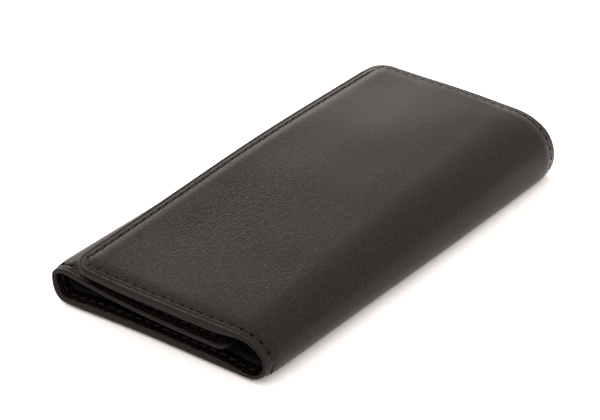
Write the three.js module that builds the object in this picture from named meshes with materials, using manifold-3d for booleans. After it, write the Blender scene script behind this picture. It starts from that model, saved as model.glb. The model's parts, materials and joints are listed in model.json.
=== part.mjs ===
// A black leather key case that folds in three, closed and lying on its back panel.
// X runs across the case, Y along it from the open near end to the far end with the hooks, Z up.
import * as THREE from "three";
import { mergeVertices } from "three/addons/utils/BufferGeometryUtils.js";
import Module from "manifold-3d";

const wasm = await Module();
wasm.setup();

// Driving dimensions in millimetres. A pair holds the value at the near end and at the far end.
const LENGTH = 115;
const WIDTH = 60.5;
const LEATHER = 1.2;
const LINING = 0.8;

const COVER_TOP = [10.6, 15.9]; // height of the cover's level line, more where the hook bar lies under it
const COVER_CROWN = 0.5; // the cover and the flap swell this much halfway along
const COVER_CURL = [1.1, -0.1]; // rise from the level line to the free edge
const COVER_DROOP = 1.1; // fall from the level line to the fold
const COVER_SETBACK = 6.55; // the left fold shows this far beyond the cover's free edge
const COVER_OVERHANG = 0.5; // the cover's ends stand this far past the back panel
const COVER_CORNER = 5;

const RIGHT_REACH = [5.2, 7.8]; // how far the right fold swings out past its upper fold line
const RIGHT_FOOT = [4.2, 2.8]; // and past its lower fold line, where the case presses it flat
const RIGHT_BELLY = [4.6, 5.4]; // height where the right fold is widest
const RIGHT_SWELL = 0.4; // the right fold is this much wider halfway along than at its ends
const LEFT_REACH = [5.0, 6.4];
const LEFT_BELLY = [5.0, 5.4];

const FLAP_ROOM = 2.6; // from the flap up to the cover's lining
const FLAP_DIP_RUN = 14; // the flap comes to its level in this distance from the left fold
const FLAP_TIP_SETBACK = 11; // from the flap's tip to the outside of the right fold
const FLAP_CORNER = 2.5;

const HOOKS = 6;
const HOOK_LENGTH = 23; // from the shoulder to the bend
const HOOK_THICK = 1.5;
const HOOK_LEG = 0.9;
const HOOK_SHOULDER = 4.6;
const HOOK_SPACE = 1.0; // between neighbouring hooks
const MOUTH = 10.5; // length of the opening that the gate closes
const STEM_RADIUS = 0.85;
const STEM_HEAD_RADIUS = 1.6;
const STEM_HEAD = 1.2;
const GATE_WIDTH = 0.8;
const GATE_THICK = 0.5;
const GATE_OVERLAP = 1.3; // the gate's tip reaches this far behind the nose
const GATE_EYE_RADIUS = 0.95;
const PIN_RADIUS = 0.4;

const BAR_END_INSET = 2.4; // from the bar to the far end of the back panel
const BAR_DEPTH = 6.4;
const BAR_SHEET = 0.8;
const BAR_BEND = 1.4; // outside radius of the bar's two bends
const EAR_LENGTH = 4.2;
const RIVET_RADIUS = 1.0;
const RIVET_HEAD_RADIUS = 1.6;
const RIVET_HEAD = 0.7;
const RIVET_TAIL_RADIUS = 1.8;
const RIVET_TAIL = 0.4;

const SNAP_SPACING = 56; // between the two press fasteners
const SNAP_INSET = 17.3; // from the cover's free edge
const SNAP_RADIUS = 4.2;
const SNAP_FLANGE = 0.5;
const KNOB_RADIUS = 2.0;
const KNOB_HEIGHT = 1.0;
const POST_RADIUS = 1.1;

// Clearances.
const GLUE_GAP = 0.2; // between leather and lining
const FOLD_GAP = 0.5; // between a panel and the fold beside it
const LINING_INSET = 0.5; // the lining stops short of the leather's edge
const LEFT_FOLD_GAP = [0.6, 3.4]; // from the left fold up to the cover's lining
const BAR_SIDE_GAP = 1.45; // from the bar's ears to the right fold, which turns past them
const SEAT_GAP = 0.1; // under a metal piece that lies on leather or lining
const FIT_GAP = 0.3; // round a stem, a rivet or a gate
const PIN_GAP = 0.1;

// Derived sizes.
const PANEL = LEATHER + GLUE_GAP + LINING;
const COVER_EDGE_X = COVER_SETBACK - WIDTH / 2;
const SNAP_X = COVER_EDGE_X + SNAP_INSET;
const FLAP_TIP_X = WIDTH / 2 - FLAP_TIP_SETBACK;
const BAR_LENGTH = WIDTH - 2 * (RIGHT_REACH[1] + BAR_SIDE_GAP + EAR_LENGTH);
const HOOK_PITCH = BAR_LENGTH / HOOKS;
const HOOK_WIDTH = HOOK_PITCH - HOOK_SPACE;
const HOOK_AXIS_Z = PANEL + FIT_GAP + HOOK_WIDTH / 2;
const BAR_Y = LENGTH / 2 - BAR_END_INSET - BAR_DEPTH;
const BAR_Z = PANEL + SEAT_GAP;
const BAR_HEIGHT = HOOK_AXIS_Z - BAR_Z + STEM_HEAD_RADIUS + FIT_GAP + BAR_SHEET;
const RIVET_X = BAR_LENGTH / 2 + EAR_LENGTH / 2;

const leather = new THREE.MeshStandardMaterial({ color: 0x2b2725, roughness: 0.55 });
const liningCloth = new THREE.MeshStandardMaterial({ color: 0x1b1a1a, roughness: 0.85 });
const nickel = new THREE.MeshStandardMaterial({ color: 0xc9c7c2, roughness: 0.25, metalness: 1 });

// The case in cross-section. Every line runs clockwise as seen from the near end: along the cover to the
// right, down the right fold, back under the case, up the left fold and out along the flap.
// A line is drawn at a depth under the leather's outside, which is always on the left of the line.
const share = (y) => y / LENGTH + 0.5;
const taper = (pair, y) => pair[0] + (pair[1] - pair[0]) * share(y);
const level = (y) => taper(COVER_TOP, y) + COVER_CROWN * 4 * share(y) * (1 - share(y));
const rightSide = (y) => WIDTH / 2 - RIGHT_SWELL * (2 * share(y) - 1) ** 2;
const rightFoldX = (y) => rightSide(y) - taper(RIGHT_REACH, y);
const rightFootX = (y) => rightSide(y) - taper(RIGHT_FOOT, y);
const leftFoldX = (y) => taper(LEFT_REACH, y) - WIDTH / 2;
const flapLevel = (y) => level(y) - PANEL - FLAP_ROOM;
const leftFoldTop = (y) => level(y) + taper(COVER_CURL, y) - PANEL - taper(LEFT_FOLD_GAP, y);

function coverHeight(x, y) {
  if (x < SNAP_X) {
    const toEdge = (SNAP_X - x) / (SNAP_X - COVER_EDGE_X);
    return level(y) + taper(COVER_CURL, y) * toEdge * toEdge;
  }
  const toFold = (x - SNAP_X) / (rightFoldX(y) - SNAP_X);
  return level(y) - COVER_DROOP * toFold * toFold;
}

function flapHeight(x, y) {
  const down = THREE.MathUtils.smoothstep(x - leftFoldX(y), 0, FLAP_DIP_RUN);
  return leftFoldTop(y) + (flapLevel(y) - leftFoldTop(y)) * down;
}

// How far a rounded corner draws a free edge back at this place along the case.
function cornerDraw(y, halfLength, radius) {
  const intoCorner = Math.max(0, Math.abs(y) - (halfLength - radius));
  return radius - Math.sqrt(Math.max(0, radius * radius - intoCorner * intoCorner));
}

const steps = (count) => Array.from({ length: count + 1 }, (_, i) => i / count);

function coverLine(y, depth, inset) {
  const halfLength = LENGTH / 2 + COVER_OVERHANG - inset;
  const start = COVER_EDGE_X + inset + cornerDraw(y, halfLength, COVER_CORNER - inset);
  const end = rightFoldX(y) - FOLD_GAP;
  return steps(10).map((s) => {
    const x = start + (end - start) * s;
    return new THREE.Vector2(x, coverHeight(x, y) - depth);
  });
}

// A fold is two quarter ellipses that meet where it is widest; side is 1 on the right and -1 on the left.
// Each quarter is given as [fold line, reach, height], the heights measured from the widest place.
function foldLine(side, upper, lower) {
  return steps(12).map((s) => {
    const turn = side * Math.PI * (0.5 - s);
    const [foldX, reach, height] = turn > 0 ? upper : lower;
    return new THREE.Vector2(foldX + side * reach * Math.cos(turn), height * Math.sin(turn));
  });
}

function rightFoldLine(y, depth) {
  const belly = taper(RIGHT_BELLY, y);
  const top = level(y) - COVER_DROOP - belly;
  const upper = [rightFoldX(y), taper(RIGHT_REACH, y) - depth, top - depth];
  const lower = [rightFootX(y), taper(RIGHT_FOOT, y) - depth, belly - depth];
  const line = foldLine(1, upper, lower);
  return line.map((point) => point.setY(point.y + belly));
}

function backLine(y, depth) {
  const right = rightFootX(y) - FOLD_GAP;
  const left = leftFoldX(y) + FOLD_GAP;
  return steps(2).map((s) => new THREE.Vector2(right + (left - right) * s, depth));
}

function leftFoldLine(y, depth) {
  const belly = taper(LEFT_BELLY, y);
  const top = leftFoldTop(y) - belly;
  const reach = taper(LEFT_REACH, y) - depth;
  const line = foldLine(-1, [leftFoldX(y), reach, top - depth], [leftFoldX(y), reach, belly - depth]);
  return line.map((point) => point.setY(point.y + belly));
}

function flapLine(y, depth, inset) {
  const start = leftFoldX(y) + FOLD_GAP;
  const end = FLAP_TIP_X - inset - cornerDraw(y, LENGTH / 2 - inset, FLAP_CORNER - inset);
  return steps(10).map((s) => {
    const x = start + (end - start) * s ** 1.3;
    return new THREE.Vector2(x, flapHeight(x, y) - depth);
  });
}

// Places along the case: close together through rounded corners, wide apart between them.
function places(halfLength, corner, spans) {
  const middle = steps(spans).map((s) => (halfLength - corner) * (2 * s - 1));
  const bend = corner > 0 ? [90, 68, 45, 22] : [];
  const ends = bend.map((a) => halfLength - corner + corner * Math.sin(THREE.MathUtils.degToRad(a)));
  return [...ends.map((y) => -y), ...middle, ...ends.slice().reverse()];
}

// One layer of a panel: a closed sheet between two depths under the outside line, through all the places.
function layer(lineAt, depths, ys) {
  const positions = [];
  const faces = [];
  const count = lineAt(0, depths[0]).length;
  for (const y of ys) {
    const outer = lineAt(y, depths[0]);
    const inner = lineAt(y, depths[1]);
    outer.forEach((p, i) => positions.push(p.x, y, p.y, inner[i].x, y, inner[i].y));
  }
  const outerAt = (i, j) => 2 * (j * count + i);
  const innerAt = (i, j) => outerAt(i, j) + 1;
  const quad = (a, b, c, d) => faces.push(a, b, c, a, c, d);
  const last = count - 1;
  const far = ys.length - 1;
  for (let j = 0; j < far; j++) {
    for (let i = 0; i < last; i++) {
      quad(outerAt(i, j), outerAt(i + 1, j), outerAt(i + 1, j + 1), outerAt(i, j + 1));
      quad(innerAt(i, j), innerAt(i, j + 1), innerAt(i + 1, j + 1), innerAt(i + 1, j));
    }
    quad(outerAt(0, j), outerAt(0, j + 1), innerAt(0, j + 1), innerAt(0, j));
    quad(outerAt(last, j), innerAt(last, j), innerAt(last, j + 1), outerAt(last, j + 1));
  }
  for (let i = 0; i < last; i++) {
    quad(outerAt(i, 0), innerAt(i, 0), innerAt(i + 1, 0), outerAt(i + 1, 0));
    quad(outerAt(i, far), outerAt(i + 1, far), innerAt(i + 1, far), innerAt(i, far));
  }
  const sheet = new THREE.BufferGeometry();
  sheet.setAttribute("position", new THREE.Float32BufferAttribute(positions, 3));
  sheet.setIndex(faces);
  return sheet;
}

function solidOf(geometry) {
  const bare = new THREE.BufferGeometry();
  bare.setAttribute("position", geometry.getAttribute("position"));
  bare.setIndex(geometry.index);
  const merged = mergeVertices(bare, 1e-4);
  return new wasm.Manifold(new wasm.Mesh({
    numProp: 3,
    vertProperties: merged.getAttribute("position").array,
    triVerts: new Uint32Array(merged.index.array),
  }));
}

function geometryOf(solid) {
  const mesh = solid.getMesh();
  const geometry = new THREE.BufferGeometry();
  geometry.setAttribute("position", new THREE.BufferAttribute(mesh.vertProperties, 3));
  geometry.setIndex(new THREE.BufferAttribute(mesh.triVerts, 1));
  return geometry;
}

const joined = (...pieces) => geometryOf(pieces.map(solidOf).reduce((a, b) => a.add(b)));
const cut = (geometry, ...tools) => geometryOf(tools.map(solidOf).reduce((a, b) => a.subtract(b), solidOf(geometry)));

const root = new THREE.Group();
root.name = "key_case";

function add(parent, name, geometry, material) {
  geometry.computeVertexNormals();
  const mesh = new THREE.Mesh(geometry, material);
  mesh.name = name;
  parent.add(mesh);
  return mesh;
}

function group(name, parent = root) {
  const made = new THREE.Group();
  made.name = name;
  parent.add(made);
  return made;
}

// A round bar along Z between two heights.
function rod(radius, bottom, top, x = 0, y = 0) {
  const bar = new THREE.CylinderGeometry(radius, radius, top - bottom, radius < 1 ? 10 : 16);
  bar.rotateX(Math.PI / 2);
  bar.translate(x, y, (bottom + top) / 2);
  return bar;
}

// A turned piece about Z from its half outline, given as [radius, height] from the bottom up.
function turned(outline, sides = 16) {
  const piece = new THREE.LatheGeometry(outline.map(([r, h]) => new THREE.Vector2(r, h)), sides);
  piece.rotateX(Math.PI / 2);
  return piece;
}

// A press fastener's own frame: on the flap's outside, square to the slope of the case there.
function snapFrame(y) {
  const slope = Math.atan2(flapLevel(y + 1) - flapLevel(y - 1), 2);
  const frame = new THREE.Matrix4().makeRotationX(slope);
  return frame.setPosition(SNAP_X, y, flapLevel(y));
}

const SNAPS = { near: snapFrame(-SNAP_SPACING / 2), far: snapFrame(SNAP_SPACING / 2) };
const atSnaps = (make) => Object.values(SNAPS).map((frame) => make().applyMatrix4(frame));

const LEATHER_DEPTHS = [0, LEATHER];
const LINING_DEPTHS = [LEATHER + GLUE_GAP, PANEL];
const POST_HOLE_RADIUS = POST_RADIUS + FIT_GAP;
const COVER_INSIDE = FLAP_ROOM + PANEL; // the cover's outside above the flap
const CAP_POCKET = 0.5;

// Back panel, the piece that everything else is fixed to.
const back = group("back_panel");
const tailPocket = (x) => rod(RIVET_TAIL_RADIUS + FIT_GAP, LEATHER - RIVET_TAIL - SEAT_GAP, LEATHER + 1, x,
  BAR_Y + BAR_DEPTH / 2);
const rivetHole = (x) => rod(RIVET_RADIUS + FIT_GAP, LEATHER, PANEL + 1, x, BAR_Y + BAR_DEPTH / 2);
const ends = places(LENGTH / 2, 0, 4);
const liningEnds = places(LENGTH / 2 - LINING_INSET, 0, 4);
add(back, "back_leather",
  cut(layer(backLine, LEATHER_DEPTHS, ends), tailPocket(-RIVET_X), tailPocket(RIVET_X)), leather);
add(back, "back_lining",
  cut(layer(backLine, LINING_DEPTHS, liningEnds), rivetHole(-RIVET_X), rivetHole(RIVET_X)), liningCloth);

// The two folds.
const rightFold = group("right_fold");
add(rightFold, "right_fold_leather", layer(rightFoldLine, LEATHER_DEPTHS, ends), leather);
add(rightFold, "right_fold_lining", layer(rightFoldLine, LINING_DEPTHS, liningEnds), liningCloth);
const leftFold = group("left_fold");
add(leftFold, "left_fold_leather", layer(leftFoldLine, LEATHER_DEPTHS, ends), leather);
add(leftFold, "left_fold_lining", layer(leftFoldLine, LINING_DEPTHS, liningEnds), liningCloth);

// Cover, with pockets inside its leather for the hidden caps.
const cover = group("cover");
const coverHalf = LENGTH / 2 + COVER_OVERHANG;
const coverLeather = layer((y, depth) => coverLine(y, depth, 0), LEATHER_DEPTHS, places(coverHalf, COVER_CORNER, 4));
const coverLining = layer((y, depth) => coverLine(y, depth, LINING_INSET), LINING_DEPTHS,
  places(coverHalf - LINING_INSET, COVER_CORNER - LINING_INSET, 4));
const capPocket = () => rod(SNAP_RADIUS + FIT_GAP, FLAP_ROOM + LINING, COVER_INSIDE - LEATHER + CAP_POCKET);
add(cover, "cover_leather", cut(coverLeather, ...atSnaps(capPocket)), leather);
add(cover, "cover_lining",
  cut(coverLining, ...atSnaps(() => rod(POST_HOLE_RADIUS, FLAP_ROOM - 1, FLAP_ROOM + PANEL))), liningCloth);

// Inner flap.
const flap = group("inner_flap");
const flapLeather = layer((y, depth) => flapLine(y, depth, 0), LEATHER_DEPTHS, places(LENGTH / 2, FLAP_CORNER, 4));
const flapLining = layer((y, depth) => flapLine(y, depth, LINING_INSET), LINING_DEPTHS,
  places(LENGTH / 2 - LINING_INSET, FLAP_CORNER - LINING_INSET, 4));
const flapHole = () => rod(POST_HOLE_RADIUS, -PANEL - 1, 1);
add(flap, "inner_flap_leather", cut(flapLeather, ...atSnaps(flapHole)), leather);
add(flap, "inner_flap_lining", cut(flapLining, ...atSnaps(flapHole)), liningCloth);

// Press fasteners: cap and socket on the cover, stud and post on the flap.
const STUD_TOP = SEAT_GAP + SNAP_FLANGE;
const SOCKET_BOTTOM = STUD_TOP + SEAT_GAP;
const SOCKET_TOP = FLAP_ROOM - SEAT_GAP;
const SOCKET_ROOF = SOCKET_TOP - SNAP_FLANGE;
const CAP_TOP = COVER_INSIDE - LEATHER + CAP_POCKET - SEAT_GAP;
const CAP_BOTTOM = FLAP_ROOM + LINING + SEAT_GAP;

const capOutline = () => [
  [0, SOCKET_ROOF], [POST_RADIUS, SOCKET_ROOF], [POST_RADIUS, CAP_BOTTOM], [SNAP_RADIUS, CAP_BOTTOM],
  [SNAP_RADIUS, CAP_TOP - 0.15], [SNAP_RADIUS - 0.4, CAP_TOP], [0, CAP_TOP],
];

const socketOutline = () => [
  [POST_HOLE_RADIUS, SOCKET_ROOF], [KNOB_RADIUS + FIT_GAP, SOCKET_ROOF], [KNOB_RADIUS + FIT_GAP, SOCKET_BOTTOM + 0.4],
  [KNOB_RADIUS + 2 * FIT_GAP, SOCKET_BOTTOM], [SNAP_RADIUS - 0.5, SOCKET_BOTTOM], [SNAP_RADIUS, SOCKET_BOTTOM + 0.5],
  [SNAP_RADIUS, SOCKET_TOP], [POST_HOLE_RADIUS, SOCKET_TOP], [POST_HOLE_RADIUS, SOCKET_ROOF],
];

const studOutline = () => [
  [POST_HOLE_RADIUS, SEAT_GAP], [SNAP_RADIUS, SEAT_GAP], [SNAP_RADIUS, STUD_TOP - 0.2], [SNAP_RADIUS - 0.4, STUD_TOP],
  [KNOB_RADIUS - 0.2, STUD_TOP], [KNOB_RADIUS, STUD_TOP + 0.6 * KNOB_HEIGHT], [KNOB_RADIUS - 0.3, STUD_TOP + KNOB_HEIGHT],
  [POST_HOLE_RADIUS, STUD_TOP + KNOB_HEIGHT], [POST_HOLE_RADIUS, SEAT_GAP],
];

const POST_BORE_RADIUS = POST_RADIUS - 0.45;
const POST_TOP = STUD_TOP + KNOB_HEIGHT;
const postOutline = () => [
  [POST_BORE_RADIUS, -PANEL - SEAT_GAP - SNAP_FLANGE], [SNAP_RADIUS - 0.8, -PANEL - SEAT_GAP - SNAP_FLANGE],
  [SNAP_RADIUS - 0.4, -PANEL - SEAT_GAP], [POST_RADIUS, -PANEL - SEAT_GAP], [POST_RADIUS, POST_TOP],
  [POST_BORE_RADIUS, POST_TOP], [POST_BORE_RADIUS, -PANEL - SEAT_GAP - SNAP_FLANGE],
];

for (const [place, frame] of Object.entries(SNAPS)) {
  add(cover, `snap_cap_${place}`, turned(capOutline()).applyMatrix4(frame), nickel);
  add(cover, `snap_socket_${place}`, turned(socketOutline()).applyMatrix4(frame), nickel);
  add(flap, `snap_stud_${place}`, turned(studOutline()).applyMatrix4(frame), nickel);
  add(flap, `snap_post_${place}`, turned(postOutline()).applyMatrix4(frame), nickel);
}

// Hook bar: a bent channel, open underneath, with an ear at each end for a rivet.
function channel() {
  const quarter = Math.PI / 2;
  const innerBend = BAR_BEND - BAR_SHEET;
  const innerTop = BAR_HEIGHT - BAR_SHEET;
  const section = new THREE.Shape();
  section.moveTo(0, 0);
  section.lineTo(0, BAR_HEIGHT - BAR_BEND);
  section.absarc(BAR_BEND, BAR_HEIGHT - BAR_BEND, BAR_BEND, 2 * quarter, quarter, true);
  section.lineTo(BAR_DEPTH - BAR_BEND, BAR_HEIGHT);
  section.absarc(BAR_DEPTH - BAR_BEND, BAR_HEIGHT - BAR_BEND, BAR_BEND, quarter, 0, true);
  section.lineTo(BAR_DEPTH, 0);
  section.lineTo(BAR_DEPTH - BAR_SHEET, 0);
  section.lineTo(BAR_DEPTH - BAR_SHEET, innerTop - innerBend);
  section.absarc(BAR_DEPTH - BAR_BEND, innerTop - innerBend, innerBend, 0, quarter, false);
  section.lineTo(BAR_BEND, innerTop);
  section.absarc(BAR_BEND, innerTop - innerBend, innerBend, quarter, 2 * quarter, false);
  section.lineTo(BAR_SHEET, 0);
  const bent = new THREE.ExtrudeGeometry(section, { depth: BAR_LENGTH, bevelEnabled: false, curveSegments: 3 });
  const acrossCase = new THREE.Matrix4().makeBasis(
    new THREE.Vector3(0, 1, 0), new THREE.Vector3(0, 0, 1), new THREE.Vector3(1, 0, 0));
  bent.applyMatrix4(acrossCase);
  bent.translate(-BAR_LENGTH / 2, BAR_Y, BAR_Z);
  return bent;
}

function ear(side) {
  const half = BAR_DEPTH / 2;
  const outline = new THREE.Shape();
  outline.moveTo(-BAR_SHEET, -half);
  outline.lineTo(EAR_LENGTH / 2, -half);
  outline.quadraticCurveTo(EAR_LENGTH, -half, EAR_LENGTH, 0);
  outline.quadraticCurveTo(EAR_LENGTH, half, EAR_LENGTH / 2, half);
  outline.lineTo(-BAR_SHEET, half);
  const plate = new THREE.ExtrudeGeometry(outline, { depth: BAR_SHEET, bevelEnabled: false, curveSegments: 6 });
  plate.rotateZ(side > 0 ? 0 : Math.PI);
  plate.translate(side * BAR_LENGTH / 2, BAR_Y + half, BAR_Z);
  return plate;
}

const hookX = (i) => (i - (HOOKS - 1) / 2) * HOOK_PITCH;

function stemHole(i) {
  const hole = new THREE.CylinderGeometry(STEM_RADIUS + FIT_GAP, STEM_RADIUS + FIT_GAP, 2 * BAR_SHEET, 12);
  hole.translate(hookX(i), BAR_Y + BAR_SHEET / 2, HOOK_AXIS_Z);
  return hole;
}

const earHole = (x) => rod(RIVET_RADIUS + FIT_GAP, BAR_Z - 1, BAR_Z + BAR_SHEET + 1, x, BAR_Y + BAR_DEPTH / 2);
const stemHoles = Array.from({ length: HOOKS }, (_, i) => stemHole(i));
add(back, "hook_bar",
  cut(joined(channel(), ear(-1), ear(1)), earHole(-RIVET_X), earHole(RIVET_X), ...stemHoles), nickel);

const rivetOutline = () => {
  const headBottom = BAR_Z + BAR_SHEET + SEAT_GAP;
  return [
    [0, LEATHER - RIVET_TAIL], [RIVET_TAIL_RADIUS, LEATHER - RIVET_TAIL], [RIVET_TAIL_RADIUS, LEATHER + SEAT_GAP],
    [RIVET_RADIUS, LEATHER + SEAT_GAP], [RIVET_RADIUS, headBottom], [RIVET_HEAD_RADIUS, headBottom],
    [0.8 * RIVET_HEAD_RADIUS, headBottom + 0.6 * RIVET_HEAD], [0.4 * RIVET_HEAD_RADIUS, headBottom + 0.92 * RIVET_HEAD],
    [0, headBottom + RIVET_HEAD],
  ];
};
for (const [place, x] of [["left", -RIVET_X], ["right", RIVET_X]]) {
  add(back, `bar_rivet_${place}`, turned(rivetOutline(), 12).translate(x, BAR_Y + BAR_DEPTH / 2, 0), nickel);
}

// Key hook, in its own frame: the stem's axis is Y, and Y = 0 is the outside of the bar's front wall.
const HOOK_HALF = HOOK_WIDTH / 2;
const LOOP_HALF = HOOK_HALF - HOOK_LEG;
const HOOK_TOP = -1.0;
const LOOP_TOP = HOOK_TOP - HOOK_SHOULDER;
const HOOK_BEND_Y = HOOK_TOP - HOOK_LENGTH + HOOK_HALF;
const MOUTH_BOTTOM = LOOP_TOP - MOUTH;
const PIVOT_X = HOOK_HALF - GATE_EYE_RADIUS - 0.1;
const PIVOT_Y = LOOP_TOP + GATE_EYE_RADIUS + FIT_GAP;
const SLOT = GATE_THICK + FIT_GAP;
const SLOT_TOP = PIVOT_Y + GATE_EYE_RADIUS + FIT_GAP;

function block(x0, x1, y0, y1, thickness) {
  const box = new THREE.BoxGeometry(x1 - x0, y1 - y0, thickness);
  box.translate((x0 + x1) / 2, (y0 + y1) / 2, 0);
  return box;
}

// A long plate with rounded top corners and a half-round bend.
function longPlate(half, top, corner, thickness) {
  const outline = new THREE.Shape();
  outline.moveTo(corner - half, top);
  outline.absarc(half - corner, top - corner, corner, Math.PI / 2, 0, true);
  outline.absarc(0, HOOK_BEND_Y, half, 0, Math.PI, true);
  outline.absarc(corner - half, top - corner, corner, Math.PI, Math.PI / 2, true);
  const plate = new THREE.ExtrudeGeometry(outline, { depth: thickness, bevelEnabled: false, curveSegments: 3 });
  return plate.translate(0, 0, -thickness / 2);
}

function hookGeometry() {
  const plate = longPlate(HOOK_HALF, HOOK_TOP, 1.6, HOOK_THICK);
  const loop = longPlate(LOOP_HALF, LOOP_TOP, 0.6, 2 * HOOK_THICK);
  const headStart = BAR_SHEET + FIT_GAP;
  const stem = new THREE.LatheGeometry([
    [0, HOOK_TOP - 1], [0.6, HOOK_TOP - 1], [STEM_RADIUS, HOOK_TOP], [STEM_RADIUS, headStart],
    [STEM_HEAD_RADIUS, headStart], [STEM_HEAD_RADIUS, headStart + 0.5 * STEM_HEAD],
    [0.6 * STEM_HEAD_RADIUS, headStart + STEM_HEAD], [0, headStart + STEM_HEAD],
  ].map(([r, h]) => new THREE.Vector2(r, h)), 10);
  const mouth = block(0, HOOK_WIDTH, MOUTH_BOTTOM, LOOP_TOP - 0.01, 2 * HOOK_THICK);
  const slot = block(PIVOT_X - GATE_EYE_RADIUS - FIT_GAP, HOOK_WIDTH, LOOP_TOP - 0.5, SLOT_TOP, SLOT);
  const pinHole = rod(PIN_RADIUS + PIN_GAP, -HOOK_THICK, HOOK_THICK, PIVOT_X, PIVOT_Y);
  return cut(joined(plate, stem), loop, mouth, slot, pinHole);
}

const GATE_LENGTH = PIVOT_Y - MOUTH_BOTTOM + GATE_OVERLAP;
const GATE_TIP_X = LOOP_HALF - FIT_GAP - GATE_WIDTH / 2;

// The gate leans in from its pin so that its tip lies behind the nose.
function gateGeometry() {
  const half = GATE_WIDTH / 2;
  const neck = Math.asin(half / GATE_EYE_RADIUS);
  const outline = new THREE.Shape();
  outline.absarc(0, 0, GATE_EYE_RADIUS, neck - Math.PI / 2, 1.5 * Math.PI - neck, false);
  outline.lineTo(-half, half - GATE_LENGTH);
  outline.absarc(0, half - GATE_LENGTH, half, Math.PI, 2 * Math.PI, false);
  const leaf = new THREE.ExtrudeGeometry(outline, { depth: GATE_THICK, bevelEnabled: false, curveSegments: 4 });
  leaf.translate(0, 0, -GATE_THICK / 2);
  const gate = cut(leaf, rod(PIN_RADIUS + PIN_GAP, -GATE_THICK, GATE_THICK));
  gate.rotateZ(-Math.asin((PIVOT_X - GATE_TIP_X) / GATE_LENGTH));
  return gate.translate(PIVOT_X, PIVOT_Y, 0);
}

for (let i = 0; i < HOOKS; i++) {
  const place = group(`hook_${i + 1}`);
  place.position.set(hookX(i), BAR_Y, HOOK_AXIS_Z);
  add(place, `key_hook_${i + 1}`, hookGeometry(), nickel);
  add(place, `hook_gate_${i + 1}`, gateGeometry(), nickel);
  add(place, `gate_pin_${i + 1}`, rod(PIN_RADIUS, -HOOK_THICK / 2, HOOK_THICK / 2, PIVOT_X, PIVOT_Y), nickel);
}

export default root;
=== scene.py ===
# %% [markdown]
# # A black leather key case
# The case is one strip of leather that goes round a bundle of keys: a cover on top, a round fold down
# the right side, a back panel on the table, a lower fold on the left, and a flap tucked under the cover.
# The packed model already holds every piece at its real size and says what moves with what. This lesson
# gives the pieces their looks. It starts by loading that model and keeping its box.

# %% Load the packed model
import functools
import json
import math

import bpy
import numpy as np
from mathutils import Matrix, Vector, noise


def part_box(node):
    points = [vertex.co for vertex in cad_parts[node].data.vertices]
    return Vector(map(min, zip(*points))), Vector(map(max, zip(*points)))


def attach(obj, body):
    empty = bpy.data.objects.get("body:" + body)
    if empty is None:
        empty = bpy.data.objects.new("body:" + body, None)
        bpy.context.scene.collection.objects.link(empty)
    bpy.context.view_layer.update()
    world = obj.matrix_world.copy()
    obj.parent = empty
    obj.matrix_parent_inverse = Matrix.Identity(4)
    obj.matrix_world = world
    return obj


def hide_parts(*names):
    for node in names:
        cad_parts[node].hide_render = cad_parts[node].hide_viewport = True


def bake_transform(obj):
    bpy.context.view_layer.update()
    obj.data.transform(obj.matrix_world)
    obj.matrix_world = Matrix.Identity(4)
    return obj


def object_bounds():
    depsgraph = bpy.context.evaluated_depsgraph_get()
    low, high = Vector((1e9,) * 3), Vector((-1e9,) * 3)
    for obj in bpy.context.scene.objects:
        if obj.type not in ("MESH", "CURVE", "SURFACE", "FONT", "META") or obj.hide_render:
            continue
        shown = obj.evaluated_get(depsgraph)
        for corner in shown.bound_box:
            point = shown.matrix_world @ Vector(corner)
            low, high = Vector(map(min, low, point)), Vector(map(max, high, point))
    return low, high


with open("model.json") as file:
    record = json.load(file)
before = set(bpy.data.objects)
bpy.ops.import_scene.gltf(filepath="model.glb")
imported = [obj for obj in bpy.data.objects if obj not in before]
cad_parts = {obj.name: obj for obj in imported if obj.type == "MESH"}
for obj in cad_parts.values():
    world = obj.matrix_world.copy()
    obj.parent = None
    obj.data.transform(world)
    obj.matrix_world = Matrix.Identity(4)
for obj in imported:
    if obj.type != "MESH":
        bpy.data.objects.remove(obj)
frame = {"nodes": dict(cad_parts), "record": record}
cad_low, cad_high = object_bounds()
MM = 0.001
print("CAD box in mm:", [round(c / MM, 1) for c in (*cad_low, *cad_high)])

# %% [markdown]
# ## Camera
# The photograph looks along the case with a long lens, from the right of the open end and from 30 degrees
# up. A camera could be aimed with a Track To constraint, but three plain vectors say the same thing and can
# be checked by hand: where "back" points from the case to the lens, "right" and "up" follow from it.

# %% Camera
AZIMUTH = math.radians(36.80)
ELEVATION = math.radians(29.88)
DISTANCE = 0.459
LENS = 118.2
IMAGE_SIZE = (600, 420)
ORIGIN_PIXEL = (316.9, 233.3)

back = Vector((math.sin(AZIMUTH) * math.cos(ELEVATION), -math.cos(AZIMUTH) * math.cos(ELEVATION),
               math.sin(ELEVATION)))
right = Vector((math.cos(AZIMUTH), math.sin(AZIMUTH), 0))
up = back.cross(right)
aim = Matrix((right, up, back)).transposed()

bpy.ops.object.select_all(action="DESELECT")
bpy.ops.object.camera_add(location=DISTANCE * back, rotation=aim.to_euler())
camera = bpy.context.object
camera.data.lens = LENS
camera.data.shift_x = 0.5 - ORIGIN_PIXEL[0] / IMAGE_SIZE[0]
camera.data.shift_y = (ORIGIN_PIXEL[1] - IMAGE_SIZE[1] / 2) / IMAGE_SIZE[0]
bpy.context.scene.camera = camera
bpy.context.scene.view_settings.view_transform = "Standard"
print("camera at", [round(c, 3) for c in camera.location], "shift", round(camera.data.shift_x, 4))

# %% [markdown]
# ## Arithmetic on sockets
# A procedural finish is mostly arithmetic: a bit of this noise, minus that groove. Wiring Math nodes one
# by one hides the formula, so one small class wraps a socket. Adding or multiplying two wires puts a Math
# node into the tree, and `node` adds any other kind of node: settings first, then its sockets. `speckle`
# and `bump` are the two kinds that nearly every finish here needs.

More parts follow.
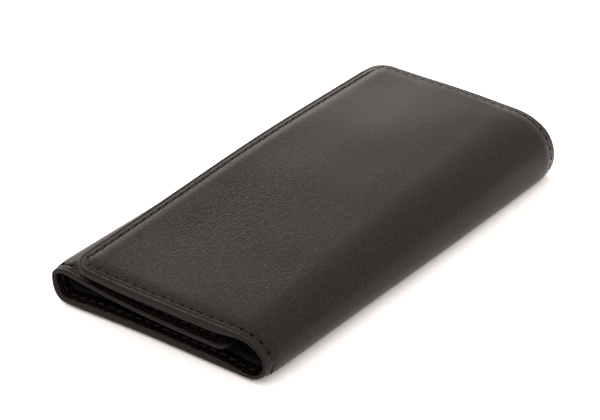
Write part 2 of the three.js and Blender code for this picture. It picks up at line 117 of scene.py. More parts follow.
# %% Wires
class Wire:
    """An output socket of a node tree that can be used in sums and products."""

    def __init__(self, tree, socket=None):
        self.tree = tree
        self.socket = socket

    def node(self, kind, settings=(), inputs=(), output=0):
        """Adds a node with these settings and inputs, and returns one of its outputs."""
        made = self.tree.nodes.new("ShaderNode" + kind)
        for name, value in dict(settings).items():
            setattr(made, name, value)
        for name, value in dict(inputs).items():
            if isinstance(value, Wire):
                self.tree.links.new(value.socket, made.inputs[name])
            else:
                made.inputs[name].default_value = value
        return Wire(self.tree, made.outputs[output])

    def maths(self, operation, first, second):
        return self.node("Math", {"operation": operation}, {0: first, 1: second})

    def __add__(self, other):
        return self.maths("ADD", self, other)

    def __radd__(self, other):
        return self.maths("ADD", other, self)

    def __sub__(self, other):
        return self.maths("SUBTRACT", self, other)

    def __rsub__(self, other):
        return self.maths("SUBTRACT", other, self)

    def __mul__(self, other):
        return self.maths("MULTIPLY", self, other)

    def __rmul__(self, other):
        return self.maths("MULTIPLY", other, self)

    def step(self, low, high):
        """0 below low, 1 above high, smooth between."""
        return self.node("MapRange", {"interpolation_type": "SMOOTHSTEP"},
                         {"Value": self, "From Min": low, "From Max": high})

    def mix(self, none, full):
        """The colour none where this wire is 0 and full where it is 1."""
        return self.node("Mix", {"data_type": "RGBA"}, {0: self, 6: none, 7: full}, output=2)

    def speckle(self, size, detail=2.0, output=0):
        """Noise with spots of this size, where this wire holds the place."""
        inputs = {"Vector": self, "Scale": 1 / size, "Detail": detail}
        return self.node("TexNoise", inputs=inputs, output=output)

    def bump(self, strength, distance):
        """The normal of a surface that rises and falls with this wire."""
        inputs = {"Strength": strength, "Distance": distance, "Height": self}
        return self.node("Bump", inputs=inputs, output="Normal")


print("a wire can:", [name for name in vars(Wire) if not name.startswith("_")])

# %% [markdown]
# ## White studio
# The case lies on white paper in a pale room. The room lights it evenly from everywhere, and one wide, low
# window light behind it on the left brushes over the top, which is why the far end of the cover gleams
# most. The paper is photographed more than a stop too bright, as white paper usually is, so only the
# darkest part of its shadow survives. Brighter lamps could do that, but they would bleach the leather too.
# Here the paper's colour is raised for the rays that the camera sends, and a little for those that a shiny
# surface sends.

# %% World, floor and lamp
ROOM_LIGHT = 0.8
ROOM_COLOUR = (1.0, 0.94, 0.91, 1)
PAPER_COLOUR = (0.93, 0.92, 0.91, 1)
PAPER_ROUGHNESS = 0.9
PAPER_EXPOSED = 1.35
MIRRORED_EXPOSED = 0.3
PAPER_SIZE = 4.0
PAPER_DROP = 0.15 * MM

world = bpy.data.worlds.new("pale_room")
world.use_nodes = True
bpy.context.scene.world = world
sky = world.node_tree.nodes["Background"]
sky.inputs["Color"].default_value = ROOM_COLOUR
sky.inputs["Strength"].default_value = ROOM_LIGHT

paper = bpy.data.materials.new("white_paper")
paper.use_nodes = True
surface = paper.node_tree.nodes["Principled BSDF"]
surface.inputs["Roughness"].default_value = PAPER_ROUGHNESS
surface.inputs["Specular IOR Level"].default_value = 0.0
tree = Wire(paper.node_tree)
camera_ray, glossy_ray, clear_ray = (
    tree.node("LightPath", output=name)
    for name in ("Is Camera Ray", "Is Glossy Ray", "Is Transmission Ray"))
exposed = 1 + PAPER_EXPOSED * camera_ray + MIRRORED_EXPOSED * (glossy_ray + clear_ray)
white = tree.node("VectorMath", {"operation": "SCALE"}, {0: PAPER_COLOUR[:3], "Scale": exposed})
paper.node_tree.links.new(white.socket, surface.inputs["Base Color"])

bpy.ops.mesh.primitive_plane_add(size=PAPER_SIZE, location=(0, 0, -PAPER_DROP))
floor = bpy.context.object
floor.name = "paper_floor"
floor.data.materials.append(paper)

WINDOW_PLACE = Vector((-0.471, 0.150, 0.241))
WINDOW_SIZE = (0.90, 0.16)
WINDOW_POWER = 0.54
WINDOW_COLOUR = (1.0, 0.88, 0.86)
bpy.ops.object.light_add(type="AREA", location=WINDOW_PLACE)
window = bpy.context.object
window.data.shape = "RECTANGLE"
window.data.size, window.data.size_y = WINDOW_SIZE
window.data.energy, window.data.color = WINDOW_POWER, WINDOW_COLOUR
window.rotation_euler = WINDOW_PLACE.to_track_quat("Z", "Y").to_euler()
print("room light", ROOM_LIGHT, "window", WINDOW_POWER, "W")

# %% [markdown]
# ## Black leather
# The hide is dyed black right through and lightly polished, so most of what the eye sees is the room's
# white mirrored faintly in it. Close up it is covered in flat pebbles under a millimetre wide, with fine
# wrinkles half that size over them. A photograph of leather could be laid over it; here a cell pattern
# gives the pebbles, a noise the wrinkles, which take a little colour too, and a slow cloud makes some
# patches duller than others. Hands take hold of the far end, so the grain is worn flatter there.

# %% Leather
def finish(name, **constants):
    """A new material: its tree as a Wire, and its Principled shader with the constant sockets set."""
    material = bpy.data.materials.new(name)
    material.use_nodes = True
    shader = material.node_tree.nodes["Principled BSDF"]
    for socket, value in constants.items():
        shader.inputs[socket.replace("_", " ")].default_value = value
    return material, Wire(material.node_tree), shader


def feed(shader, **wires):
    """Links wires to the sockets of a shader."""
    for socket, wire in wires.items():
        wire.tree.links.new(wire.socket, shader.inputs[socket.replace("_", " ")])


PEBBLE = 0.8 * MM
WRINKLE = 0.42 * MM
CLOUD = 14 * MM
GRAIN_HEIGHT = 0.037 * MM
WORN_REACH = (-25 * MM, 45 * MM)  # along the case, where handling has flattened the grain
WORN_FLAT = 0.65  # the share of the relief that is gone at the far end
RIM_HIGHLIGHT_REACH = (0.3, 2.2)  # from an edge, in millimetres, where the colour is painted lighter: a painted highlight along the rim
LEATHER_TINT = (1.0, 0.93, 0.90, 1)
BLACK = (0.0025, 0.0017, 0.0014, 1)
RIM_HIGHLIGHT_BLACK = (0.0260, 0.0180, 0.0145, 1)

leather, tree, shader = finish("black_leather", Specular_IOR_Level=0.34, Specular_Tint=LEATHER_TINT)
here = tree.node("TexCoord", output="Object")
wobble = here.speckle(2 * PEBBLE, 1.0, output="Color")
pushed = tree.node("VectorMath", {"operation": "MULTIPLY_ADD"},
                   {0: wobble, 1: (0.5 * PEBBLE,) * 3, 2: here})
pebbles = tree.node("TexVoronoi", {"feature": "DISTANCE_TO_EDGE"},
                    {"Vector": pushed, "Scale": 1 / PEBBLE}, output="Distance").step(0.0, 0.5)
wrinkles = here.speckle(WRINKLE, 1.0)
cloud = here.speckle(CLOUD)
# painted highlight: the colour is lighter within about two millimetres of every edge, for the light that
# the rounded rim catches
rim_highlight = 1 - tree.node("Attribute", {"attribute_name": "edge"}, output="Fac").step(*RIM_HIGHLIGHT_REACH)
grain = wrinkles.step(0.3, 0.7)
worn = tree.node("SeparateXYZ", inputs={"Vector": here}, output="Y").step(*WORN_REACH)
height = (0.6 * pebbles + 1.5 * wrinkles) * (1 - WORN_FLAT * worn)
feed(shader, Base_Color=(0.2 * cloud + grain - 0.3 + 0.15 * rim_highlight).mix(BLACK, RIM_HIGHLIGHT_BLACK),
     Roughness=0.12 + 0.08 * cloud + 0.06 * wrinkles - 0.03 * pebbles,
     Normal=height.bump(1.0, GRAIN_HEIGHT))
print("leather nodes:", len(leather.node_tree.nodes))

# %% [markdown]
# ## Edge paint, lining and thread
# The cut edges are sealed with a matt black paint, which is duller than the grain side. The lining is a
# black twill, two fine waves across each other; it reads the sheet's own UV map in millimetres so that the
# weave follows the folds. The thread is a waxed black twist, with its turns drawn along each stitch. The
# awl holes are the blackest thing on the case, speckled a little: painted shade for the shadow inside them.

# %% Edge paint
PAINT_GRAIN = 0.35 * MM
PAINT_BLACKS = ((0.008, 0.0065, 0.0060, 1), (0.018, 0.0145, 0.0130, 1))

paint, tree, shader = finish("edge_paint", Specular_IOR_Level=0.24)
brush = tree.node("TexCoord", output="Object").speckle(PAINT_GRAIN, 3.0)
feed(shader, Base_Color=brush.mix(*PAINT_BLACKS), Roughness=0.36 + 0.16 * brush,
     Normal=brush.bump(0.4, 0.05 * MM))
print("edge paint nodes:", len(paint.node_tree.nodes))

# %% Twill lining
TWILL_PER_MM = 1.8
TWILL_ANGLE = math.radians(55)
TWILL_BLACKS = ((0.006, 0.006, 0.0065, 1), (0.022, 0.021, 0.021, 1))
WAVE_BANDS = 3.14  # about as many as a Wave node draws per unit at scale 1

lining_cloth, tree, shader = finish("black_twill", Specular_IOR_Level=0.2)
on_cloth = tree.node("UVMap", {"uv_map": "UVMap"})
turned = tree.node("Mapping", inputs={"Vector": on_cloth, "Rotation": (0, 0, TWILL_ANGLE)})
ribs = tree.node("TexWave", {"wave_profile": "SIN"},
                 {"Vector": turned, "Scale": TWILL_PER_MM / WAVE_BANDS, "Distortion": 0.6, "Detail": 1.0},
                 output="Fac")
across = tree.node("TexWave", {"wave_profile": "SIN", "bands_direction": "Y"},
                   {"Vector": on_cloth, "Scale": 2 * TWILL_PER_MM / WAVE_BANDS, "Distortion": 0.4},
                   output="Fac")
weave = 0.65 * ribs + 0.35 * across
feed(shader, Base_Color=weave.mix(*TWILL_BLACKS), Roughness=0.92 - 0.12 * weave,
     Normal=weave.bump(0.6, 0.06 * MM))
print("twill nodes:", len(lining_cloth.node_tree.nodes))

# %% Waxed thread
TWIST_SCALE = 1.2
THREAD_BLACKS = ((0.006, 0.005, 0.005, 1), (0.022, 0.019, 0.018, 1))

thread, tree, shader = finish("waxed_thread", Specular_IOR_Level=0.35)
along = tree.node("UVMap", {"uv_map": "UVMap"})
twist = tree.node("TexWave", {"wave_profile": "SIN", "bands_direction": "DIAGONAL"},
                  {"Vector": along, "Scale": TWIST_SCALE}, output="Fac")
feed(shader, Base_Color=twist.mix(*THREAD_BLACKS), Roughness=0.55 - 0.15 * twist,
     Normal=twist.bump(0.7, 0.08 * MM))
print("thread nodes:", len(thread.node_tree.nodes))

# %% Awl holes, painted shade
HOLE_SPECKLE = 0.1 * MM
HOLE_SHADE_BLACKS = ((0.0015, 0.0013, 0.0012, 1), (0.008, 0.007, 0.0065, 1))

# painted shade: a near-black, barely reflecting colour for the shadow inside each awl hole, speckled a
# little
hole_shade, tree, shader = finish("awl_hole_shade", Roughness=0.8, Specular_IOR_Level=0.1)
hole_speckle = tree.node("TexCoord", output="Object").speckle(HOLE_SPECKLE)
feed(shader, Base_Color=hole_speckle.mix(*HOLE_SHADE_BLACKS))
print("materials so far:", [m.name for m in (leather, paint, lining_cloth, thread, hole_shade)])

# %% [markdown]
# ## The line of the leather
# Cut across, the case is one line: along the cover, down the right fold, under the back, up the left fold
# and out along the flap. The case is a wedge, thicker at the hook end, so each height and reach is a pair:
# near end, far end. At the far end the hooks hold the cover flat for longer before it turns down. A Curve
# modifier could wrap a flat sheet round one section, but not round a wedge whose section grows, so each row
# of a sheet is placed on its own section. The section is worked out in millimetres and softened a little,
# because leather rounds off every change of direction.

# %% Sizes of the section, in millimetres
back_low, back_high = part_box("back_leather")
cover_low, cover_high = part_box("cover_leather")
flap_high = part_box("inner_flap_leather")[1]
LENGTH = (back_high.y - back_low.y) / MM
HALF_WIDTH = cad_high.x / MM
COVER_EDGE_X = cover_low.x / MM
COVER_OVERHANG = (cover_high.y - back_high.y) / MM
FLAP_TIP_X = flap_high.x / MM
PANEL = 2.2  # leather, glue and lining together
COVER_TOP = (10.75, 16.25)
COVER_CROWN = 0.7
COVER_CURL = (0.85, 0.40)
CURL_POWER = 2.2  # the free edge curls up most at the open end
COVER_BOW, BOW_Y, BOW_RUN = 0.6, 8, 28  # the cover bows up towards its free edge, most near its middle
COVER_DROOP, END_DROOP = 0.18, 0.37  # towards the right fold, and more at the hook end
END_DROOP_Y, END_DROOP_RUN = 47, 10
CURL_X = -6.4  # the cover is level along this line, over the two press fasteners
RIGHT_REACH = (9.0, 16.0)  # from the widest line of the right fold in to where the cover begins
RIGHT_TURN = (1.0, 0.64)  # a power of the cosine: 1 is an ellipse, less stays flat and turns late
RIGHT_FOOT = (5.4, 2.8)  # from that line in to where the back begins
RIGHT_BELLY = (5.0, 5.4)  # the height of that line
RIGHT_SWELL = (0.2, 0.6)  # how far that line draws in towards the two ends
SIDE_PUSH = 0.3  # the side of the fold is fullest half way along
LEFT_REACH = (5.0, 6.4)
LEFT_FOOT = (5.4, 6.4)
LEFT_BELLY = (5.8, 5.4)
FLAP_ROOM = 2.6  # from the underside of the cover down to the flap
FLAP_DIP_RUN = 14  # from the left fold to where the flap has sunk
NEAR_DIP_RUN = 40  # the same at the open end
LEFT_FOLD_GAP = (0.9, 4.15)  # between the cover's free edge and the left fold
NEAR_LIFT = 0.1  # the open end gapes a little
print("length", round(LENGTH, 1), "half width", round(HALF_WIDTH, 1), "cover edge", round(COVER_EDGE_X, 1))

# %% Parts of a section
MIDDLE_DEPTH = 1.1  # the section runs through the middle of the wall
GAPE_START, GAPE_RUN = 32, 24  # from the middle of the case towards the open end
LATE_DIP = 2.5  # a power: how late the flap sinks from its fold at the open end
PANEL_POINTS, FOLD_POINTS = 80, 60


def smooth(t):
    """0 below 0, 1 above 1, with a soft start and stop between."""
    t = np.clip(t, 0, 1)
    return t * t * (3 - 2 * t)


def ramp(value, low, high):
    """The same between low and high."""
    return smooth((value - low) / (high - low))


def taper(pair, y):
    """From the first number at the open end to the second at the hook end."""
    return pair[0] + (pair[1] - pair[0]) * (y / LENGTH + 0.5)


def near_end(y):
    """1 at the open end, dying away towards the first press fastener."""
    return smooth((-y - GAPE_START) / GAPE_RUN)


def level(y):
    """Height of the cover's top over the press fasteners."""
    along = y / LENGTH + 0.5
    return taper(COVER_TOP, y) + COVER_CROWN * 4 * along * (1 - along) + NEAR_LIFT * near_end(y)


def curl(y):
    """How far the cover's free edge stands up."""
    return COVER_CURL[1] + (COVER_CURL[0] - COVER_CURL[1]) * max(0.5 - y / LENGTH, 0) ** CURL_POWER


def droop(y):
    """How far the cover has sunk where the right fold begins."""
    return COVER_DROOP + END_DROOP * smooth((y - END_DROOP_Y) / END_DROOP_RUN)


def cover_part(y, fold_x):
    """The cover's line at y, from its free edge to the right fold."""
    x = np.linspace(COVER_EDGE_X, fold_x, PANEL_POINTS)
    to_edge = np.clip((CURL_X - x) / (CURL_X - COVER_EDGE_X), 0, None)
    to_fold = np.clip((x - CURL_X) / (fold_x - CURL_X), 0, None)
    from_edge = (x - COVER_EDGE_X) / (fold_x - COVER_EDGE_X)
    bow = COVER_BOW * math.exp(-((y - BOW_Y) / BOW_RUN) ** 2) * (1 - from_edge ** 2)
    z = level(y) + bow + curl(y) * to_edge ** 2 - droop(y) * to_fold ** 2
    return np.stack([x, z - MIDDLE_DEPTH], axis=1)


def fold_part(side, widest, reach, foot, belly, top, power=1.0):
    """Two quarter ellipses: the right fold from its top (side 1), or the left one from its foot (-1)."""
    turn = np.linspace(math.pi / 2, -math.pi / 2, FOLD_POINTS) * side
    rise = np.where(turn > 0, top - belly, belly) - MIDDLE_DEPTH
    run = np.where(turn > 0, reach, foot)
    x = widest + side * ((run - MIDDLE_DEPTH) * np.cos(turn) ** np.where(turn > 0, power, 1) - run)
    return np.stack([x, belly + rise * np.sin(turn)], axis=1)


def flap_part(y, fold_x, top):
    """The flap's line at y, from the left fold to its tip."""
    x = np.linspace(fold_x, FLAP_TIP_X, PANEL_POINTS)
    early = smooth((x - fold_x) / FLAP_DIP_RUN)
    late = 1 - np.clip(1 - (x - fold_x) / NEAR_DIP_RUN, 0, 1) ** LATE_DIP
    down = early + (late - early) * near_end(y)
    z = top + (level(y) - PANEL - FLAP_ROOM - top) * down
    return np.stack([x, z - MIDDLE_DEPTH], axis=1)


print("cover top, near to far:", [round(float(level(y)), 1) for y in (-LENGTH / 2, 0, LENGTH / 2)])

# %% One whole section
POINT_STEP = 0.25
SOFTEN = 2  # in point steps
CUT_CLEAR = 0.5  # a cut is looked for this far off the flat of the back
UNDER_HALF = 10  # the middle cut is looked for within this half width


def distances(points):
    """How far along the line each point lies."""
    return np.concatenate([[0], np.cumsum(np.linalg.norm(np.diff(points, axis=0), axis=1))])


def softened(points):
    """The line resampled at even steps, with a bell-shaped average that keeps its two ends."""
    run = distances(points)
    even = np.linspace(0, run[-1], int(run[-1] / POINT_STEP) + 1)
    points = np.stack([np.interp(even, run, column) for column in points.T], axis=1)
    width = 3 * SOFTEN
    bell = np.exp(-0.5 * (np.arange(-width, width + 1) / SOFTEN) ** 2)
    before = 2 * points[0] - points[width:0:-1]
    after = 2 * points[-1] - points[-2:-width - 2:-1]
    longer = np.concatenate([before, points, after])
    return np.stack([np.convolve(column, bell / bell.sum(), "valid") for column in longer.T], axis=1)


@functools.lru_cache(maxsize=None)
def section(y):
    """The wall's middle line at y: its points, the distance run, and its start, three cuts and end."""
    right_side = HALF_WIDTH + SIDE_PUSH - taper(RIGHT_SWELL, y) * (2 * y / LENGTH) ** 2
    right_reach, right_foot, right_belly = (taper(p, y) for p in (RIGHT_REACH, RIGHT_FOOT, RIGHT_BELLY))
    left_reach, left_foot, left_belly = (taper(p, y) for p in (LEFT_REACH, LEFT_FOOT, LEFT_BELLY))
    left_top = level(y) + curl(y) - PANEL - taper(LEFT_FOLD_GAP, y)
    points = softened(np.concatenate([
        cover_part(y, right_side - right_reach),
        fold_part(1, right_side, right_reach, right_foot, right_belly, level(y) - droop(y),
                  taper(RIGHT_TURN, y)),
        fold_part(-1, -HALF_WIDTH, left_reach, left_foot, left_belly, left_top),
        flap_part(y, left_reach - HALF_WIDTH, left_top)]))
    run = distances(points)
    x, z = points.T
    on_right = x > right_side - right_foot + CUT_CLEAR
    on_left = (x < left_foot - HALF_WIDTH - CUT_CLEAR) & (run > run[-1] / 2)
    under = (z < MIDDLE_DEPTH + CUT_CLEAR) & (abs(x) < UNDER_HALF)
    cuts = (0.0, np.interp(-right_belly, -z[on_right], run[on_right]), np.interp(0, -x[under], run[under]),
            np.interp(left_belly, z[on_left], run[on_left]), run[-1])
    return points, run, cuts


for end, y in (("near", -LENGTH / 2), ("far", LENGTH / 2)):
    print(end, "end: the cuts lie at", [round(float(c), 1) for c in section(y)[2]], "mm round the section")

# %% [markdown]
# ## Places on the wall
# A flat sheet knows two numbers for each point: how far round the section it lies and how far along the
# case. `on_wall` turns them into a place and adds a slow wave of a tenth of a millimetre, since no hide
# lies dead flat. Nor is the open end quite square: its lower left corner sticks out by a millimetre. The
# cover and the flap have rounded corners: `round_corner` bends the square corner of the grid so that every
# grid line near the edge runs parallel to the edge, and grooves stay clean round the bend.

# %% Places
WAVE_HEIGHT = 0.10
WAVE_LENGTH = 17.0
CALM_RUN, EDGE_WAVE = 7.5, 0.3  # towards an edge the stitching holds the leather flat
NEAR_SKEW, SKEW_HEIGHT = 1.1, 6.0  # how far the lower left corner sticks out, and up to which height


def on_wall(s, y, out=0.0, wave=1.0):
    """The place s round the section, y along the case and out from the wall's middle, and its normal."""
    points, run, _ = section(round(float(y), 4))
    x, z = (np.interp(s, run, column) for column in points.T)
    ahead = [np.interp(s + POINT_STEP, run, column) for column in points.T]
    behind = [np.interp(s - POINT_STEP, run, column) for column in points.T]
    normal = Vector((behind[1] - ahead[1], 0, ahead[0] - behind[0])).normalized()
    swell = wave * WAVE_HEIGHT * noise.noise(Vector((x, y, 2 * z)) / WAVE_LENGTH)
    askew = NEAR_SKEW * near_end(y) * smooth(-x / HALF_WIDTH) * (1 - smooth(z / SKEW_HEIGHT))
    return Vector((x, y - askew, z)) + normal * float(out + swell), normal


def calm(d):
    """The share of the wave that is left at distance d from an edge."""
    return EDGE_WAVE + (1 - EDGE_WAVE) * smooth(d / CALM_RUN)


def round_corner(a, b, radius):
    """Moves a point that lies a and b from two edges, so that lines along them turn the corner in arcs."""
    if max(a, b) >= radius:
        return a, b
    arc = radius - min(a, b)
    turn = math.pi / 4 * (radius - max(a, b)) / arc
    near, far = radius - arc * math.cos(turn), radius - arc * math.sin(turn)
    return (near, far) if a <= b else (far, near)


print("25 mm into the cover, half way along:", [round(c, 1) for c in on_wall(25.0, 0.0)[0]])

# %% [markdown]
# ## The four stretches
# Each half of a fold bends with one hinge, so the strip is cut where a fold is widest and under the middle
# of the back. Every stretch lies between two bodies, and it is given both of them and a bend, which are
# only
# recorded here. A bend is two points: it starts in the panel at the first and is complete at the
# second, just before the cut. The cover's bend starts well inside the panel, because leather that has been
# folded for years opens in a wide roll and not in a crease. The case is a wedge, so some bends lean along
# it as well.

# %% Stretches and how they bend
class Stretch:
    """A part of the strip between two of the section's cuts, and the two bodies it lies between."""

    def __init__(self, name, cuts, bodies, bend, edge, free_edge=None, corner=0.0, overhang=0.0):
        self.name, self.cuts, self.bodies, self.bend, self.edge = name, cuts, bodies, bend, edge
        self.free_edge, self.corner, self.overhang = free_edge, corner, overhang

    def span(self, y, inset=0.0):
        """Where the stretch starts and ends at y, with its free edge drawn in by inset."""
        cuts = section(round(float(y), 4))[2]
        start, end = cuts[self.cuts[0]], cuts[self.cuts[1]]
        return start + inset * (self.free_edge == "start"), end - inset * (self.free_edge == "end")

    def flat(self, inset):
        """Width and length of the cut sheet in metres, with its free edges drawn in by inset."""
        start, end = self.span(0.0, inset)
        return float(end - start) * MM, (LENGTH - 2 * inset) * MM

    def edge_depth(self, s, y):
        """How thick the turned edge is: full along the panel and skived thin round the fold."""
        start, end = self.span(y)
        ends_in_fold = self.cuts[1] in SKIVED_EDGE
        from_fold = end - s if ends_in_fold else s - start
        thin = SKIVED_EDGE[self.cuts[ends_in_fold]]
        return thin + (self.edge - thin) * ramp(from_fold, *SKIVE)

    def pushed_out(self, s, y):
        """y moved out by the overhang, which dies away down the fold and towards the middle of the case."""
        push = self.overhang * (1 - ramp(s, *OVERHANG_RUN)) * ramp(abs(y) / LENGTH, *OVERHANG_ENDS)
        return y + math.copysign(push, y)

    def follow(self, piece):
        """Bakes a piece's transform into its mesh."""
        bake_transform(piece)


def left_bend(foot_x, foot_z):
    """Start and end of a bend that ends along the left cut, which leans a little along the case."""
    seam_x, seam_z = SEAM_INSET - HALF_WIDTH, sum(LEFT_BELLY) / 2
    lean = -(seam_z - foot_z) * (LEFT_BELLY[1] - LEFT_BELLY[0]) / LENGTH
    return (foot_x, 0, foot_z), (seam_x, lean, seam_z)


SKIVED_EDGE = {1: 1.3, 3: 1.7}  # at the cut in the right fold and at the one in the left fold
SKIVE = (5.0, 16.0)  # from the cut, where the edge grows from thin to full
OVERHANG_RUN = (30.0, 52.0)  # round the section, where the cover's overhang dies away
OVERHANG_ENDS = (0.2, 0.45)  # from the middle, as a share of the length, where it grows
SEAM_INSET = 0.4  # from the widest line of the left fold to the place where its bends are complete
COVER_BEND = ((16.6, 0, 12.6), (27.64, 0.098, 3.32))  # start and end
BACK_BEND = ((25.0, 0, 0), (29.73, 0, 4.32))
STRETCHES = (
    Stretch("cover", (0, 1), ("cover", "right_fold"), COVER_BEND,
            edge=2.35, free_edge="start", corner=5.0, overhang=COVER_OVERHANG),
    Stretch("back_right", (1, 2), ("back_panel", "right_fold"), BACK_BEND, edge=2.2),
    Stretch("back_left", (2, 3), ("back_panel", "left_fold"), left_bend(-24.5, 0.0), edge=2.2),
    Stretch("flap", (3, 4), ("inner_flap", "left_fold"), left_bend(-24.5, 10.0),
            edge=1.65, free_edge="end", corner=2.5),
)
print("stretches:", [s.name for s in STRETCHES])

# %% [markdown]
# ## Grid lines
# A sheet needs many grid lines where something happens, at its rounded edge, its crease and its stitch
# groove, and few in the middle. Near a cut the lines come close together too, so that the light runs over
# the cut without a break. Columns go round the section, rows along the case.

# %% Lines of a sheet
SEAM_LINES = np.array([0.0, 0.1, 0.3, 0.7, 1.3, 2.1])
MIDDLE_CUT = 2  # the cut under the back is on a flat, so it needs no close lines
COLUMN_STEP = 1.1
ROW_STEP = 1.6


def columns(stretch, y, lines, inset):
    """Places round the section of all columns at y."""
    start, end = stretch.span(y, inset)
    head = lines if stretch.free_edge == "start" else SEAM_LINES
    tail = lines if stretch.free_edge == "end" else SEAM_LINES
    head = start + (head if stretch.cuts[0] != MIDDLE_CUT else head[:1])
    tail = end - (tail if stretch.cuts[1] != MIDDLE_CUT else tail[:1])[::-1]
    middle_start, middle_end = stretch.span(0.0)
    count = int((middle_end - middle_start) / COLUMN_STEP)
    return np.concatenate([head, np.linspace(head[-1], tail[0], count)[1:-1], tail])


def rows(lines, inset):
    """Places along the case of all rows."""
    half = LENGTH / 2 - inset
    inner = half - lines[-1]
    middle = np.linspace(-inner, inner, int(LENGTH / ROW_STEP))
    return np.concatenate([lines[:-1] - half, middle, half - lines[-2::-1]])


def grid_point(stretch, s, y, inset, corner):
    """Where a grid point comes to lie, with any corner rounded, and its distance from the nearest edge."""
    start, end = stretch.span(y, inset)
    to_side = {"start": s - start, "end": end - s, None: math.inf}[stretch.free_edge]
    to_end = LENGTH / 2 - inset - abs(y)
    if max(to_side, to_end) < corner:
        drawn_side, drawn_end = round_corner(to_side, to_end, corner)
        y = math.copysign(LENGTH / 2 - inset - drawn_end, y)
        start, end = stretch.span(y, inset)
        s = start + drawn_side if stretch.free_edge == "start" else end - drawn_side
    return s, stretch.pushed_out(s, y), min(to_side, to_end)


print("columns of a plain cover:", len(columns(STRETCHES[0], 0.0, SEAM_LINES, 0.0)))

# %% [markdown]
# ## Skins
# Each skin is two grids, its grain side and its inside, laid on the wall at the depths that the profile
# gives and then bridged along their borders. A Solidify modifier is quicker, but it follows the middle of
# the sheet, and here the two sides differ: outside, the margin is pressed down along the stitches, with a
# tooled crease beside the rounded rim; inside, the edge is turned over for a few millimetres and stands
# proud. At the hook end the leather is drawn tight, so the grooves there are flatter and the stitches lie
# deeper.

# %% Profile of a skin, in millimetres of depth from the outside
EDGE_ROUND, INNER_ROUND = 0.55, 0.8
CREASE_LINE, CREASE_DEPTH, CREASE_WIDTH = 0.98, 0.13, 0.18
STITCH_LINE, STITCH_DEPTH, STITCH_WIDTH = 2.35, 0.13, 0.36
PLUMP, MARGIN, MARGIN_RUN = 0.12, 0.50, 5.0
TIGHT_END, TIGHT_RUN = 8.0, 4.0  # how far from the hook end the leather is drawn tight over the hook bar
TIGHT_GROOVE = 0.85  # the share of the grooves that is drawn flat there
TIGHT_MARGIN, TIGHT_SINK = 0.4, 0.09  # how much deeper the margin and the stitches lie there
INNER_GROOVE = 0.4  # the share of the stitch groove that shows inside
BORDER, BORDER_END = 4.2, 4.5
LINED_FACE, LINING_FACE = 1.6, 2.15
LINING_SINK = 0.05  # into the skin, so that no gap shows
LINING_THIN, THIN_RUN = 0.25, 0.5  # how much thinner its edge is, and over what distance


def rounded(d, radius):
    """How far a rounded rim has fallen away at distance d from the edge."""
    return radius - np.sqrt(radius ** 2 - np.clip(radius - d, 0, radius) ** 2)


def tight(y):
    """1 along the hook end, where grooves are flat and stitches are pulled in deep, and 0 elsewhere."""
    return smooth((y - LENGTH / 2 + TIGHT_END) / TIGHT_RUN)


def skin_faces(d, thick, y):
    """Depths of a skin's outer and inner face at distance d from its edge, where the edge is this thick."""
    sunk = 1 - TIGHT_GROOVE * tight(y)
    crease = CREASE_DEPTH * sunk * np.exp(-((d - CREASE_LINE) / CREASE_WIDTH) ** 2)
    groove = STITCH_DEPTH * sunk * np.exp(-((d - STITCH_LINE) / STITCH_WIDTH) ** 2)
    pressed = MARGIN * (1 + TIGHT_MARGIN * tight(y)) * (1 - smooth(d / MARGIN_RUN)) - PLUMP
    outer = rounded(d, EDGE_ROUND) + crease + groove + pressed
    turned_edge = thick - rounded(d, np.minimum(INNER_ROUND, 0.5 * thick)) - INNER_GROOVE * groove
    inner = turned_edge + (LINED_FACE - thick) * ramp(d, BORDER, BORDER_END)
    return outer, inner


def lining_faces(d, thick, y):
    """The same for the lining, which lies on the skin inside its border and has a thin edge."""
    return np.full_like(d, LINED_FACE - LINING_SINK), LINING_FACE - LINING_THIN * (1 - smooth(d / THIN_RUN))


SKIN_LINES = np.unique(np.concatenate([
    EDGE_ROUND * (1 - np.cos(np.linspace(0, math.pi / 2, 7))), [0.62],
    CREASE_LINE + np.linspace(-0.3, 0.3, 7),
    [1.4],
    STITCH_LINE + np.linspace(-0.45, 0.45, 9),
    [2.9, 3.3, 3.7], np.linspace(BORDER, BORDER_END, 3), [5.2, 6.2]]))
LINING_LINES = np.array([0, 0.15, 0.3, 0.5, 1.2, 2.2, 3.4])
print("lines beside an edge:", len(SKIN_LINES), "on a skin,", len(LINING_LINES), "on the lining")


# %% A sheet on the wall
LEAST_CORNER = 1.0  # no corner of a lining is sharper than this
SHEET_SMOOTH = math.radians(50)


def laid_grid(width, flat, places):
    """A grid with its points at these places; each keeps its flat place and its distance from the edge."""
    bpy.ops.object.select_all(action="DESELECT")
    bpy.ops.mesh.primitive_grid_add(x_subdivisions=width - 1, y_subdivisions=len(flat) // width - 1)
    mesh = bpy.context.object.data
    mesh.vertices.foreach_set("co", np.ravel(places))
    mesh.attributes.new("edge", "FLOAT", "POINT").data.foreach_set("value", flat[:, 2])
    corners = np.empty(len(mesh.loops), dtype=int)
    mesh.loops.foreach_get("vertex_index", corners)
    mesh.uv_layers["UVMap"].data.foreach_set("uv", flat[corners, :2].ravel())
    return bpy.context.object


